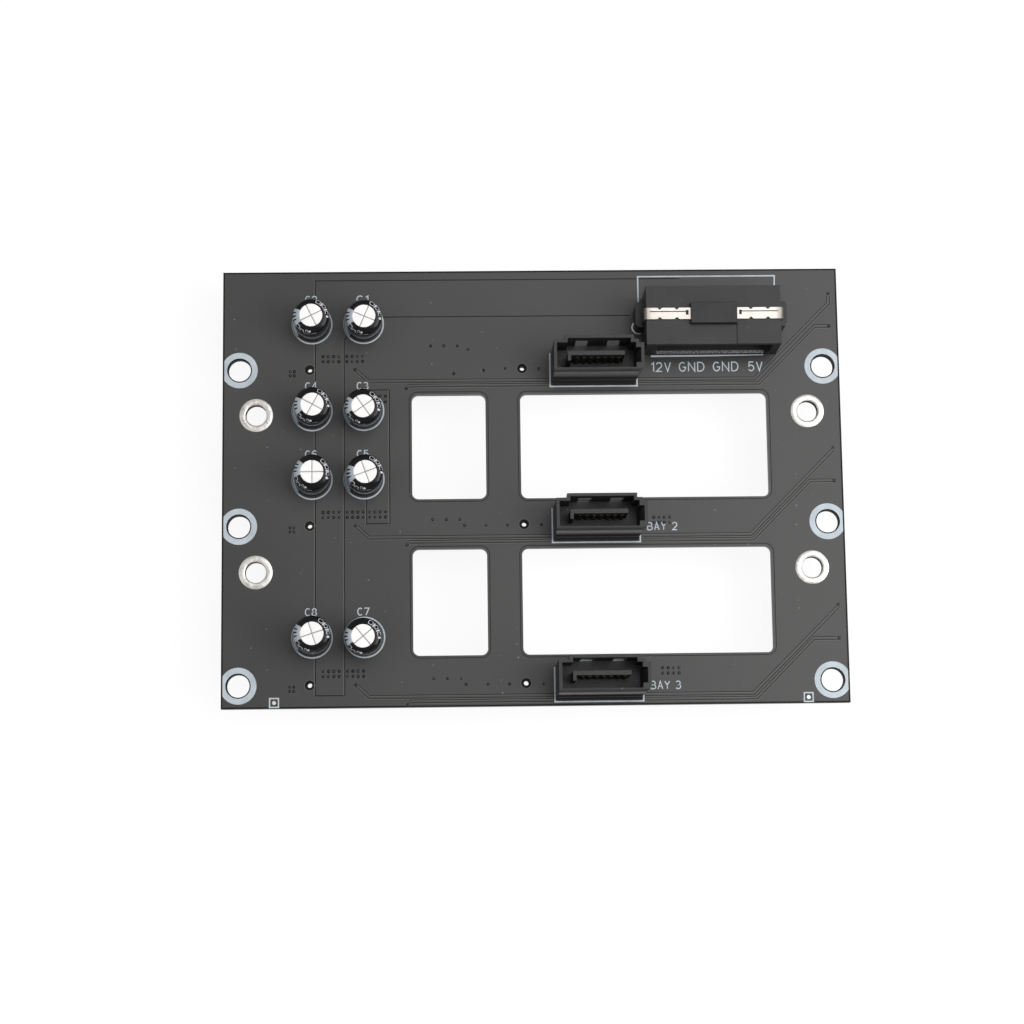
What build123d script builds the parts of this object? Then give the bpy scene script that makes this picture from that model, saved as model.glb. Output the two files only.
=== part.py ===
from build123d import *
import os

# Drive backplane board, cable side up. Millimetres, +Z up out of the cable side.
# The origin is the middle of the four corner screw holes, on the board's cable side face.

# Board
board_length = 114.0
board_width = 80.9
board_thickness = 1.6
bottom_margin = 4.15
row_pitch = 29.1
screw_spacing = 107.8
screw_hole_diameter = 4.2

# Cut-outs for cooling air, one narrow and one wide in each gap between two rows
cutout_left = -22.25
narrow_cutout_length = 13.6
cutout_bridge = 6.4
wide_cutout_length = 45.6
cutout_width = 19.55
cutout_corner_radius = 1.2
lower_cutout_lift = 0.37

# Grounding holes
ground_spacing = 101.6
ground_drop = 8.45
ground_hole_diameter = 4.0

# Locating holes at both ends of each drive socket
socket_x = -21.4
locating_spacing = 39.15
locating_hole_diameter = 1.5

# Capacitors
capacitor_left_x = -40.55
capacitor_column_pitch = 9.5
capacitor_rise = 8.6
capacitor_drop = 7.75
can_diameter = 6.6
can_height = 7.5
can_shoulder = 0.33
vent_groove_length = 4.1
vent_groove_width = 0.26
vent_groove_depth = 0.15
vent_turns = (-23, 26, 35, -29, 20, 0, 40, 18)
lead_diameter = 0.6
lead_pitch = 2.5
lead_tail = 1.6
lead_hole_diameter = 0.9

# Data headers
data_header_x = 11.5
data_header_height = 8.4
data_cavity_length = 14.4
data_cavity_offset = 0.05
data_cavity_width = 4.65
data_cavity_below = 1.7
data_side_wall = 0.56
data_front_wall = 0.8
data_floor = 1.8
latch_bay_length = 11.5
latch_bay_offset = 0.55
latch_bay_depth = 0.8
key_slot_width = 2.8
key_slot_reach = 0.9
key_slot_below = 0.8
key_bulge_wall = 0.6
key_bulge_back_wall = 0.9
key_bulge_foot = 0.25
window_width = 2.3
window_pitch = 5.85
window_offset = 0.5
window_height = 6.0
front_step_rise = 1.6
front_step_run = 0.36
rim_round = 0.7
tongue_length = 10.4
tongue_thickness = 0.8
tongue_below = 0.68
tongue_recess = 0.5
tongue_hook_length = 0.97
tongue_hook_width = 0.6
contact_pitch = 1.27
data_contact_count = 7
data_contact_shift = 0.45
data_contact_width = 0.55
data_contact_thickness = 0.25
data_contact_recess = 2.0
contact_clearance = 0.04
data_hole_diameter = 0.85

# Power header
power_header_x = 32.93
power_back_margin = 5.35
power_length = 24.6
power_depth = 10.9
power_height = 9.0
power_wall = 1.2
power_side_wall = 1.5
power_cavity_depth = 8.2
power_cavity_chamfer = 1.0
power_panel_depth = 0.15
bridge_length = 8.4
bridge_depth = 3.8
bridge_height = 1.0
ear_length = 1.65
ear_depth = 4.75
ear_shift = 0.9
ear_height = 5.0
ear_radius = 0.8
strap_y = 5.65
strap_width = 2.1
strap_thickness = 0.4
strap_bend_radius = 0.5
strap_leg_width = 1.2
strap_leg_height = 1.4
strap_clearance = 0.04
strap_slit_width = 0.18
strap_slit_length = 6.6
strap_slit_shift = 0.35
strap_eye_size = 0.5
strap_eye_x = 4.85
strap_notch_x = (6.75, 9.85)
strap_notch_length = 0.85
strap_notch_depth = 0.35
strap_notch_slope = 45
strap_hole_diameter = 1.7
pin_pitch = 5.08
pin_count = 4
pin_diameter = 2.1
pin_recess = 1.6
pin_nose = 0.7
pin_root_width = 1.4
pin_root_thickness = 1.0
pin_hole_diameter = 1.95
solder_tail = 1.5

# Drive sockets under the board
socket_length = 36.6
socket_width = 5.2
socket_base_width = 6.2
socket_base_height = 2.2
socket_height = 8.6
socket_slot_width = 1.5
socket_slot_depth = 6.0
socket_key_width = 1.1
socket_key_reach = 1.2
socket_end_chamfer = 0.5
power_slot_length = 20.8
data_slot_length = 10.6
slot_bridge = 2.2
power_contact_count = 15
socket_contact_width = 0.7
socket_contact_thickness = 0.25
socket_contact_bow = 0.3
socket_contact_recess = 0.6
socket_tail_reach = 1.0

# Cutters run this far past what they cut
cut_past = 1.0

board_bottom = -row_pitch - bottom_margin
board_middle = board_bottom + board_width / 2
power_header_y = board_bottom + board_width - power_back_margin - power_depth
rows = (row_pitch, 0, -row_pitch)
under = -board_thickness


def box_between(x0, x1, y0, y1, z0, z1):
    """Box given by its two limits along each axis."""
    middle = ((x0 + x1) / 2, (y0 + y1) / 2, (z0 + z1) / 2)
    return Pos(*middle) * Box(x1 - x0, y1 - y0, z1 - z0)


def plate(outline, z0, z1):
    """Flat outline in XY raised from z0 to z1."""
    return Pos(0, 0, z0) * extrude(outline, z1 - z0)


def cutouts():
    """Outlines of the four cooling openings."""
    wide_left = cutout_left + narrow_cutout_length + cutout_bridge
    columns = (
        (cutout_left + narrow_cutout_length / 2, narrow_cutout_length),
        (wide_left + wide_cutout_length / 2, wide_cutout_length),
    )
    shapes = []
    for y in (row_pitch / 2, lower_cutout_lift - row_pitch / 2):
        for x, length in columns:
            shapes.append(Pos(x, y) * RectangleRounded(length, cutout_width, cutout_corner_radius))
    return shapes


def ground_holes():
    return [(side * ground_spacing / 2, row - ground_drop) for row in rows[:2] for side in (-1, 1)]


def locating_holes():
    return [(socket_x + side * locating_spacing / 2, row) for row in rows for side in (-1, 1)]


def capacitor_places():
    """Base centres in the order of the printed numbers, right column first in each pair."""
    heights = (
        rows[0] + capacitor_rise,
        rows[0] - capacitor_drop,
        rows[1] + capacitor_rise,
        rows[2] + capacitor_rise,
    )
    columns = (capacitor_left_x + capacitor_column_pitch, capacitor_left_x)
    return [(x, y) for y in heights for x in columns]


def contact_offsets(count):
    return [(i - (count - 1) / 2) * contact_pitch for i in range(count)]


def data_contact_offsets():
    return [x + data_contact_shift for x in contact_offsets(data_contact_count)]


def capacitor_lead_places():
    return [(x + side * lead_pitch / 2, y) for x, y in capacitor_places() for side in (-1, 1)]


def data_tail_places():
    """Middles of the contact tails, which hang from the front face of each tongue."""
    y = tongue_below - data_contact_thickness / 2
    return [(data_header_x + x, row + y) for row in rows for x in data_contact_offsets()]


def pin_places():
    """Middles of the power pins' legs."""
    y = power_header_y + power_cavity_depth + pin_root_thickness
    return [(power_header_x + (i - (pin_count - 1) / 2) * pin_pitch, y) for i in range(pin_count)]


def strap_leg_places():
    """Middles of the strap's two legs where they enter the board."""
    x = power_length / 2 + strap_thickness / 2
    y = power_header_y + strap_y - (strap_width - strap_leg_width) / 2
    return [(power_header_x + side * x, y) for side in (-1, 1)]


def circuit_board():
    outline = Pos(0, board_middle) * Rectangle(board_length, board_width)
    for opening in cutouts():
        outline -= opening
    round_holes = [
        (screw_hole_diameter, [(side * screw_spacing / 2, y) for y in rows for side in (-1, 1)]),
        (ground_hole_diameter, ground_holes()),
    ]
    for diameter, places in round_holes:
        outline -= [Pos(x, y) * Circle(diameter / 2) for x, y in places]

    # Fine holes are cut with few sides
    fine_holes = [
        (locating_hole_diameter, 12, locating_holes()),
        (lead_hole_diameter, 6, capacitor_lead_places()),
        (data_hole_diameter, 6, data_tail_places()),
        (pin_hole_diameter, 8, pin_places()),
        (strap_hole_diameter, 8, strap_leg_places()),
    ]
    for diameter, sides, places in fine_holes:
        outline -= [Pos(x, y) * RegularPolygon(diameter / 2, sides) for x, y in places]
    return plate(outline, under, 0)


def capacitor_body():
    """Sleeved can with an eased shoulder and the vent cross pressed into its top."""
    body = extrude(Circle(can_diameter / 2), can_height)
    body = chamfer(body.edges().group_by(Axis.Z)[-1], can_shoulder)
    groove = Rectangle(vent_groove_length, vent_groove_width)
    cross = groove + Rot(0, 0, 90) * groove
    return body - plate(cross, can_height - vent_groove_depth, can_height)


def capacitor_leads():
    """Two wires down through the board, from the seal in the can's base."""
    lead = plate(RegularPolygon(lead_diameter / 2, 6), under - lead_tail, 0)
    return Compound([Pos(side * lead_pitch / 2) * lead for side in (-1, 1)])


def key_lean():
    """How far the key's bulge leans back per unit of height."""
    return (key_slot_reach + key_bulge_wall - data_side_wall + key_bulge_foot) / data_header_height


def data_cavity():
    """Main slot, with the latch bay behind it and the leaning key slot on the right."""
    left = data_cavity_offset - data_cavity_length / 2
    right = data_cavity_offset + data_cavity_length / 2
    front = -data_cavity_below
    back = front + data_cavity_width
    slot = box_between(left, right, front, back, data_floor, data_header_height)
    bay_left = latch_bay_offset - latch_bay_length / 2
    bay_right = bay_left + latch_bay_length
    slot += box_between(bay_left, bay_right, back, back + latch_bay_depth, data_floor, data_header_height)
    key_top = right + key_slot_reach
    key_foot = key_top - key_lean() * (data_header_height - data_floor)
    key = make_face(Polyline(
        (right, data_floor), (key_foot, data_floor), (key_top, data_header_height),
        (right, data_header_height), close=True,
    ))
    return slot + Pos(0, -key_slot_below) * extrude(Plane.XZ * key, -key_slot_width)


def data_shroud():
    """Keyed shroud with its L-shaped tongue, stepped foot and two windows behind the latch bay."""
    left = data_cavity_offset - data_cavity_length / 2 - data_side_wall
    right = data_cavity_offset + data_cavity_length / 2 + data_side_wall
    front = -data_cavity_below - data_front_wall
    back = data_cavity_width - data_cavity_below + data_side_wall
    bulge = data_cavity_offset + data_cavity_length / 2 + key_slot_reach + key_bulge_wall
    bulge_back = key_slot_width - key_slot_below + key_bulge_back_wall
    bay_left = latch_bay_offset - latch_bay_length / 2 - data_side_wall
    bay_right = bay_left + latch_bay_length + 2 * data_side_wall
    bay_back = back + latch_bay_depth
    rim = Polyline(
        (left, front), (right, front), (bulge, front + bulge - right), (bulge, bulge_back),
        (right, bulge_back), (right, back), (bay_right, back), (bay_right, bay_back),
        (bay_left, bay_back), (bay_left, back), (left, back), close=True,
    )
    shroud = plate(make_face(rim), 0, data_header_height)
    edge = shroud.edges().filter_by(Axis.X).sort_by(Axis.Y).group_by(Axis.Z)[-1].sort_by(Axis.Y)[0]
    shroud = fillet(edge, rim_round)

    # The key's side leans inward down to the foot
    past = bulge + cut_past
    top = data_header_height
    foot_right = bulge - key_lean() * top
    lean = make_face(Polyline((bulge, top), (foot_right, 0), (past, 0), (past, top), close=True))
    shroud -= Pos(0, bay_back + cut_past) * extrude(Plane.XZ * lean, bay_back - front + 2 * cut_past)

    # Two steps along the foot of the front wall
    for step in (1, 2):
        rise = front_step_rise * (3 - step)
        shroud += box_between(left, foot_right, front - step * front_step_run, front, 0, rise)
    shroud -= data_cavity()
    window = Rectangle(window_width, data_side_wall, align=(Align.CENTER, Align.MAX))
    for side in (-1, 1):
        x = window_offset + side * window_pitch / 2
        shroud -= plate(Pos(x, bay_back) * window, 0, window_height)

    corner = Pos(-tongue_length / 2, tongue_below)
    tongue = corner * Rectangle(tongue_length, tongue_thickness, align=Align.MIN)
    tongue += corner * Rectangle(tongue_hook_width, tongue_hook_length, align=(Align.MIN, Align.MAX))
    shroud += plate(tongue, data_floor, data_header_height - tongue_recess)
    slit = Rectangle(data_contact_width + 2 * contact_clearance, data_contact_thickness + contact_clearance)
    y = tongue_below - (data_contact_thickness + contact_clearance) / 2
    for x in data_contact_offsets():
        shroud -= plate(Pos(x, y) * slit, 0, data_floor)
    return shroud


def data_contacts():
    """Flat blades on the tongue, each running down through the board as its tail."""
    top = data_header_height - tongue_recess - data_contact_recess
    back = tongue_below
    front = back - data_contact_thickness
    tail = under - solder_tail
    middle = (back + front) / 2
    section = Polyline(
        (back, top), (middle, top), (front, top - data_contact_thickness), (front, tail + data_contact_width),
        (middle, tail), (back, tail + data_contact_width), close=True,
    )
    blade = extrude(Plane.YZ * make_face(section), data_contact_width)
    return Compound([Pos(x - data_contact_width / 2) * blade for x in data_contact_offsets()])


def power_cavity():
    """Keyed mouth with its two lower corners cut off, open to the front."""
    half = power_length / 2 - power_side_wall
    low = power_wall
    high = power_height - power_wall
    cut = power_cavity_chamfer
    mouth = Polyline(
        (-half, high), (-half, low + cut), (cut - half, low),
        (half - cut, low), (half, low + cut), (half, high), close=True,
    )
    return extrude(Plane.XZ * make_face(mouth), -power_cavity_depth)


def pin_section():
    """Side outline of a pin's root: along the cavity's middle, then down to the board."""
    middle = power_height / 2
    bar = pin_root_thickness / 2
    start = power_cavity_depth
    leg = start + pin_root_thickness
    return make_face(Polyline(
        (start, middle + bar), (leg + bar, middle + bar), (leg + bar, under - solder_tail),
        (leg - bar, under - solder_tail), (leg - bar, middle - bar), (start, middle - bar), close=True,
    ))


def power_housing():
    """Right-angle shroud with the strap's bridge on its roof and a slotted ear on each side."""
    half = power_length / 2
    housing = box_between(-half, half, 0, power_depth, 0, power_height) - power_cavity()
    panel = bridge_length / 2
    bridge_front = strap_y - bridge_depth / 2
    bridge_back = strap_y + bridge_depth / 2
    bridge_top = power_height + bridge_height
    housing += box_between(-panel, panel, bridge_front, bridge_back, power_height, bridge_top)
    housing -= box_between(-panel, panel, 0, bridge_front, power_height - power_panel_depth, power_height)

    # The strap runs under the bridge and down between the housing and each ear
    channel = strap_width / 2 + strap_clearance
    slack = strap_thickness + strap_clearance
    channel_front, channel_back = strap_y - channel, strap_y + channel
    housing -= box_between(-panel, panel, channel_front, channel_back, power_height, power_height + slack)
    ear_middle = strap_y + ear_shift
    ear_front, ear_back = ear_middle - ear_depth / 2, ear_middle + ear_depth / 2
    ear = box_between(half, half + ear_length, ear_front, ear_back, 0, ear_height)
    ear = fillet(ear.edges().filter_by(Axis.Z).group_by(Axis.X)[-1], ear_radius)
    ear -= box_between(half, half + slack, channel_front, channel_back, 0, ear_height)
    housing += [ear, mirror(ear, Plane.YZ)]

    root = extrude(Plane.YZ * pin_section(), pin_root_width)
    for i in range(pin_count):
        housing -= Pos((i - (pin_count - 1) / 2) * pin_pitch - pin_root_width / 2) * root
    return housing


def power_pins():
    """Round pins with coned noses on square roots that turn down into the board."""
    middle = power_height / 2
    root = extrude(Plane.YZ * pin_section(), pin_root_width)
    nose = extrude(Plane.XZ * RegularPolygon(pin_diameter / 2, 12), pin_recess - power_cavity_depth)
    nose = Pos(0, pin_recess, middle) * nose
    nose = chamfer(nose.edges().group_by(Axis.Y)[0], pin_nose, pin_nose / 2)
    pin = Pos(-pin_root_width / 2) * root + nose
    return Compound([Pos((i - (pin_count - 1) / 2) * pin_pitch) * pin for i in range(pin_count)])


def power_strap():
    """Spring strap over the housing, notched and slit, with a leg into the board at each end."""
    half = power_length / 2
    outer = half + strap_thickness
    top = power_height + strap_thickness
    bent = Pos(0, 0, top / 2) * Box(2 * outer, strap_width, top)
    bent = fillet(bent.edges().filter_by(Axis.Y).group_by(Axis.Z)[-1], strap_bend_radius)
    strap = bent - Pos(0, 0, power_height / 2) * Box(2 * half, strap_width, power_height)

    notch = Trapezoid(strap_notch_length, strap_notch_depth, strap_notch_slope)
    for side in (-1, 1):
        start = strap_eye_x + strap_eye_size / 2
        slit = Rectangle(strap_slit_length, strap_slit_width)
        slit = Pos(side * (start + strap_slit_length / 2), strap_slit_shift) * slit
        eye = Rectangle(strap_eye_size, strap_eye_size + strap_slit_shift)
        slit += Pos(side * strap_eye_x, strap_slit_shift / 2) * eye
        strap -= plate(slit, power_height, top)
        for x in strap_notch_x:
            for edge in (-1, 1):
                y = edge * (strap_width - strap_notch_depth) / 2
                strap -= plate(Pos(side * x, y) * Rot(0, 0, 90 + edge * 90) * notch, power_height, top)
    leg_front = -strap_width / 2
    leg_back = leg_front + strap_leg_width
    for side in (-1, 1):
        x0, x1 = sorted((side * half, side * outer))
        strap -= box_between(x0, x1, leg_back, -leg_front, 0, strap_leg_height)
        strap += box_between(x0, x1, leg_front, leg_back, under - solder_tail, strap_leg_height)
    return strap


def socket_slots():
    """Contact slots of the drive socket as (left end, length, number of contacts)."""
    left = -(power_slot_length + slot_bridge + data_slot_length) / 2
    return (
        (left, power_slot_length, power_contact_count),
        (left + power_slot_length + slot_bridge, data_slot_length, data_contact_count),
    )


def drive_socket():
    """Socket with a keyed slot each for power and data, opening downward."""
    mouth = under - socket_height
    base = under - socket_base_height
    half = socket_length / 2
    body = box_between(-half, half, -socket_width / 2, socket_width / 2, mouth, base)
    body = chamfer(body.edges().filter_by(Axis.Z), socket_end_chamfer)
    body += box_between(-half, half, -socket_base_width / 2, socket_base_width / 2, base, under)
    slot_half = socket_slot_width / 2
    floor = mouth + socket_slot_depth
    for left, length, count in socket_slots():
        body -= box_between(left, left + length, -slot_half, slot_half, mouth, floor)
        key_front = -slot_half - socket_key_reach
        body -= box_between(left, left + socket_key_width, key_front, -slot_half, mouth, floor)
        span = (count - 1) * contact_pitch / 2 + socket_contact_width / 2 + contact_clearance
        middle = left + length / 2
        back = slot_half + socket_contact_thickness
        left_end, right_end = middle - span, middle + span
        body -= box_between(left_end, right_end, slot_half, back, mouth + socket_contact_recess, under)
        foot_top = under - socket_contact_thickness
        body -= box_between(left_end, right_end, back, socket_base_width / 2, foot_top, under)
    return body


def socket_contacts():
    """Bowed spring contacts along one side of each slot, with feet on the board."""
    mouth = under - socket_height
    inner = socket_slot_width / 2
    outer = inner + socket_contact_thickness
    tip = mouth + socket_contact_recess
    crown = tip + socket_slot_depth / 4
    foot = socket_base_width / 2 + socket_tail_reach
    section = Polyline(
        (inner, under), (foot, under), (foot, under - socket_contact_thickness),
        (outer, under - socket_contact_thickness), (outer, tip), (inner - socket_contact_bow, crown),
        (inner, mouth + socket_slot_depth), close=True,
    )
    blade = extrude(Plane.YZ * make_face(section), socket_contact_width)
    places = [left + length / 2 + x for left, length, count in socket_slots() for x in contact_offsets(count)]
    return Compound([Pos(x - socket_contact_width / 2) * blade for x in places])


def parts():
    """Every sub-part in its place, by name."""
    placed = {"circuit_board": circuit_board()}
    body, leads = capacitor_body(), capacitor_leads()
    for number, (place, turn) in enumerate(zip(capacitor_places(), vent_turns), 1):
        placed[f"capacitor_{number}_body"] = Pos(*place) * Rot(0, 0, turn) * body
        placed[f"capacitor_{number}_leads"] = Pos(*place) * leads
    shroud, blades = data_shroud(), data_contacts()
    socket, springs = drive_socket(), socket_contacts()
    for number, row in enumerate(rows, 1):
        placed[f"data_header_{number}_shroud"] = Pos(data_header_x, row) * shroud
        placed[f"data_header_{number}_contacts"] = Pos(data_header_x, row) * blades
        placed[f"drive_socket_{number}_housing"] = Pos(socket_x, row) * socket
        placed[f"drive_socket_{number}_contacts"] = Pos(socket_x, row) * springs
    power = Pos(power_header_x, power_header_y)
    placed["power_header_housing"] = power * power_housing()
    placed["power_header_pins"] = power * power_pins()
    placed["power_header_strap"] = power * Pos(0, strap_y) * power_strap()
    return placed


os.makedirs("parts", exist_ok=True)
for name, shape in parts().items():
    export_step(shape, f"parts/{name}.step")
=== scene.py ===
import math
import bpy
import bmesh
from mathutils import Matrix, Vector


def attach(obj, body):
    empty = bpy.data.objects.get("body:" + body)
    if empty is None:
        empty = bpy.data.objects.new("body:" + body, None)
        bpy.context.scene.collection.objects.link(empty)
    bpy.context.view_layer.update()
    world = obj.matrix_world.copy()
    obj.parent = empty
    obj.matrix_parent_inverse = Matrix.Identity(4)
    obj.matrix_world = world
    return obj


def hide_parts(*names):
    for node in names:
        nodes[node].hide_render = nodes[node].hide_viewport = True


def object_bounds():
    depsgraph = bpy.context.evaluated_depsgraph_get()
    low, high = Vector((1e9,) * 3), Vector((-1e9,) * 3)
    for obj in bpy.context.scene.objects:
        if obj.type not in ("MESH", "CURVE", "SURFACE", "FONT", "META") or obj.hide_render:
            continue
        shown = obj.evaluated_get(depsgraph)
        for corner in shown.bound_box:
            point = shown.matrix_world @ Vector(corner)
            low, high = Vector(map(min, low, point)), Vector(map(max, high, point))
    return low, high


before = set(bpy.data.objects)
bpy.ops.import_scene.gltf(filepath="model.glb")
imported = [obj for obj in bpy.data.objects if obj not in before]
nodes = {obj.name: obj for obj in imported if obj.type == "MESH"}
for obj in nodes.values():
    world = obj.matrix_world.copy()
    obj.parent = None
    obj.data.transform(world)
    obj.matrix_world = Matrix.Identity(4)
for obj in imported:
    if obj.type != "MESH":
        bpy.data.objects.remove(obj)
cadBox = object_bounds()
print("stage: frame loaded,", len(nodes), "nodes")

mm = 0.001
rowHeights = (29.1, 0.0, -29.1)  # the three drive rows, along Y
board = dict(left=-57.0, right=57.0, bottom=-33.25, back=47.65, under=-1.6)
under = board["under"]


# shader tools

def addNode(tree, kind, settings=None, **inputs):
    made = tree.nodes.new(kind)
    for key, value in (settings or {}).items():
        setattr(made, key, value)
    for key, value in inputs.items():
        numbered = key[0] == "n" and key[1:].isdigit()
        socket = made.inputs[int(key[1:])] if numbered else made.inputs[key.replace("_", " ")]
        if isinstance(value, bpy.types.NodeSocket):
            tree.links.new(value, socket)
        else:
            socket.default_value = value
    return made


def rgb(color):
    return (*color, 1.0)


def blend(tree, factor, first, second):
    return addNode(tree, "ShaderNodeMix", {"data_type": "RGBA"}, n0=factor, n6=first, n7=second).outputs[2]


def spread(tree, value, low, high, start=0.0, end=1.0):
    return addNode(tree, "ShaderNodeMapRange", n0=value, n1=low, n2=high, n3=start, n4=end).outputs[0]


def calc(tree, operation, first, second=0.0):
    return addNode(tree, "ShaderNodeMath", {"operation": operation}, n0=first, n1=second).outputs[0]


def product(tree, first, *others):
    for value in others:
        first = calc(tree, "MULTIPLY", first, value)
    return first


# how far a value lies from a middle, on either side
def distance(tree, value, middle):
    return calc(tree, "ABSOLUTE", calc(tree, "SUBTRACT", value, middle))


def noise(tree, place, scale, detail):
    return addNode(tree, "ShaderNodeTexNoise", Vector=place, Scale=scale, Detail=detail).outputs[0]


# X, Y and Z of a vector
def axes(tree, vector):
    return addNode(tree, "ShaderNodeSeparateXYZ", n0=vector).outputs


def normalAxes(tree):
    return axes(tree, addNode(tree, "ShaderNodeNewGeometry").outputs["Normal"])


def newGroup(name, inputs, outputs, family="ShaderNodeTree"):
    group = bpy.data.node_groups.new(name, family)
    for label, kind, value in inputs:
        socket = group.interface.new_socket(label, in_out="INPUT", socket_type="NodeSocket" + kind)
        if value is not None:
            socket.default_value = value
    for label, kind in outputs:
        group.interface.new_socket(label, in_out="OUTPUT", socket_type="NodeSocket" + kind)
    return group, group.nodes.new("NodeGroupInput").outputs, group.nodes.new("NodeGroupOutput").inputs


# fine grain for bump, and slow patches that shift shade and gloss
grainLook = dict(patchRange=(0.3, 0.7), depth=0.0002)
grainGroup, groupIn, groupOut = newGroup(
    "surfaceGrain",
    [("Place", "Vector", None), ("Grain", "Float", 3000.0),
     ("Patch", "Float", 90.0)],
    [("Height", "Float"), ("Patches", "Float")],
)
fineNoise = noise(grainGroup, groupIn["Place"], groupIn["Grain"], detail=3.0)
slowNoise = noise(grainGroup, groupIn["Place"], groupIn["Patch"], detail=4.0)
grainGroup.links.new(fineNoise, groupOut["Height"])
grainGroup.links.new(spread(grainGroup, slowNoise, *grainLook["patchRange"]), groupOut["Patches"])

# sparse specks of dust and lint on what faces up, each of its own size
dustLook = dict(color=(0.26, 0.255, 0.245), above=0.86, smallest=0.45, upward=0.7)
dustGroup, groupIn, groupOut = newGroup(
    "dustSpecks",
    [("Place", "Vector", None), ("Scale", "Float", 330.0),
     ("Size", "Float", 0.047)],
    [("Mask", "Float")],
)
cells = addNode(
    dustGroup, "ShaderNodeTexVoronoi", {"voronoi_dimensions": "2D"}, Vector=groupIn["Place"],
    Scale=groupIn["Scale"])
chance = addNode(dustGroup, "ShaderNodeSeparateColor", n0=cells.outputs["Color"]).outputs
chosen = calc(dustGroup, "GREATER_THAN", chance[0], dustLook["above"])
sizeShare = spread(dustGroup, chance[1], 0.0, 1.0, dustLook["smallest"], 1.0)
size = calc(dustGroup, "MULTIPLY", groupIn["Size"], sizeShare)
inside = calc(dustGroup, "LESS_THAN", cells.outputs["Distance"], size)
upward = calc(dustGroup, "GREATER_THAN", normalAxes(dustGroup)[2], dustLook["upward"])
strength = product(dustGroup, chosen, upward, chance[2])
dustGroup.links.new(calc(dustGroup, "MULTIPLY", inside, strength), groupOut["Mask"])

# one printed mark: a box with round corners on the wrap map, hollow or filled
cornerPower = 4.0
markGroup, groupIn, groupOut = newGroup(
    "printedMark",
    [(label, "Float", value) for label, value in (
        ("Around", 0.0), ("Along", 0.0), ("Middle Around", 0.0), ("Middle Along", 0.0), ("Half Around", 0.02),
        ("Half Along", 0.3), ("Hollow", 0.0))],
    [("Mask", "Float")],
)
powers = []
for label in ("Around", "Along"):
    off = calc(markGroup, "SUBTRACT", groupIn[label], groupIn["Middle " + label])
    part = calc(markGroup, "DIVIDE", off, groupIn["Half " + label])
    powers.append(calc(markGroup, "POWER", calc(markGroup, "ABSOLUTE", part), cornerPower))
reach = calc(markGroup, "ADD", *powers)
filled = calc(markGroup, "LESS_THAN", reach, 1.0)
rimOnly = calc(markGroup, "GREATER_THAN", reach, groupIn["Hollow"])
markGroup.links.new(calc(markGroup, "MULTIPLY", filled, rimOnly), groupOut["Mask"])


# Principled material whose shade and gloss drift slowly between two values over fine grain
def finish(name, dark, light, roughness, glossShift=0.06, grain=3000.0, patch=90.0, bump=0.02, metallic=0.0,
           dust=0.0, **fixed):
    material = bpy.data.materials.new(name)
    material.use_nodes = True
    tree = material.node_tree
    shader = tree.nodes["Principled BSDF"]
    shader.inputs["Metallic"].default_value = metallic
    for key, value in fixed.items():
        shader.inputs[key.replace("_", " ")].default_value = value
    place = addNode(tree, "ShaderNodeTexCoord").outputs["Object"]
    surface = addNode(tree, "ShaderNodeGroup", {"node_tree": grainGroup}, Place=place, Grain=grain,
                      Patch=patch)
    color = blend(tree, surface.outputs["Patches"], rgb(dark), rgb(light))
    if dust:
        specks = addNode(tree, "ShaderNodeGroup", {"node_tree": dustGroup}, Place=place)
        dusted = calc(tree, "MULTIPLY", specks.outputs["Mask"], dust)
        color = blend(tree, dusted, color, rgb(dustLook["color"]))
    tree.links.new(color, shader.inputs["Base Color"])
    gloss = spread(tree, surface.outputs["Patches"], 0.0, 1.0, roughness - glossShift, roughness + glossShift)
    tree.links.new(gloss, shader.inputs["Roughness"])
    relief = addNode(tree, "ShaderNodeBump", Strength=bump, Distance=grainLook["depth"],
                     Height=surface.outputs["Height"])
    tree.links.new(relief.outputs[0], shader.inputs["Normal"])
    return material, tree, shader, place


# lays one more colour over what the shader has now
def overlay(tree, shader, factor, color):
    below = shader.inputs["Base Color"].links[0].from_socket
    tree.links.new(blend(tree, factor, below, color), shader.inputs["Base Color"])


# paints shade: darkens and dulls the shader where a mask is set
def shade(tree, shader, mask, look):
    overlay(tree, shader, calc(tree, "MULTIPLY", mask, look["share"]), rgb(look["color"]))
    gloss = shader.inputs["Roughness"].links[0].from_socket
    dulled = calc(tree, "MAXIMUM", gloss, calc(tree, "MULTIPLY", mask, look["roughness"]))
    tree.links.new(dulled, shader.inputs["Roughness"])


# materials

# the solder mask stops just short of the board's edges, and bare laminate shows on all sides
maskLook = dict(
    dark=(0.035, 0.0341, 0.0335), light=(0.050, 0.0489, 0.0475), roughness=0.44, border=0.3, tilt=0.5,
    laminate=((0.005, 0.0045, 0.004), (0.018, 0.016, 0.012)), plies=900.0)
# painted shadow: a soft dark patch on the board in front of the power header's mouth, where the header shades
# it
aheadShadowLook = dict(
    middle=32.7, half=10.6, soft=1.6, wall=31.6, near=31.3, far=29.0, share=0.8,
    color=(0.006, 0.006, 0.006), roughness=0.7)
maskMaterial, tree, shader, place = finish(
    "solderMask", maskLook["dark"], maskLook["light"], maskLook["roughness"], grain=2200.0, patch=28.0,
    bump=0.05, dust=0.75)
facing = normalAxes(tree)
sideways = calc(tree, "LESS_THAN", calc(tree, "ABSOLUTE", facing[2]), maskLook["tilt"])
where = axes(tree, place)
ahead = spread(tree, where[1], aheadShadowLook["far"] * mm, aheadShadowLook["near"] * mm)
fromHeader = distance(tree, where[0], aheadShadowLook["middle"] * mm)
patchEnd = aheadShadowLook["half"] + aheadShadowLook["soft"]
beside = spread(tree, fromHeader, aheadShadowLook["half"] * mm, patchEnd * mm, 1.0, 0.0)
before = calc(tree, "LESS_THAN", where[1], aheadShadowLook["wall"] * mm)
onTop = calc(tree, "GREATER_THAN", facing[2], maskLook["tilt"])
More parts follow.
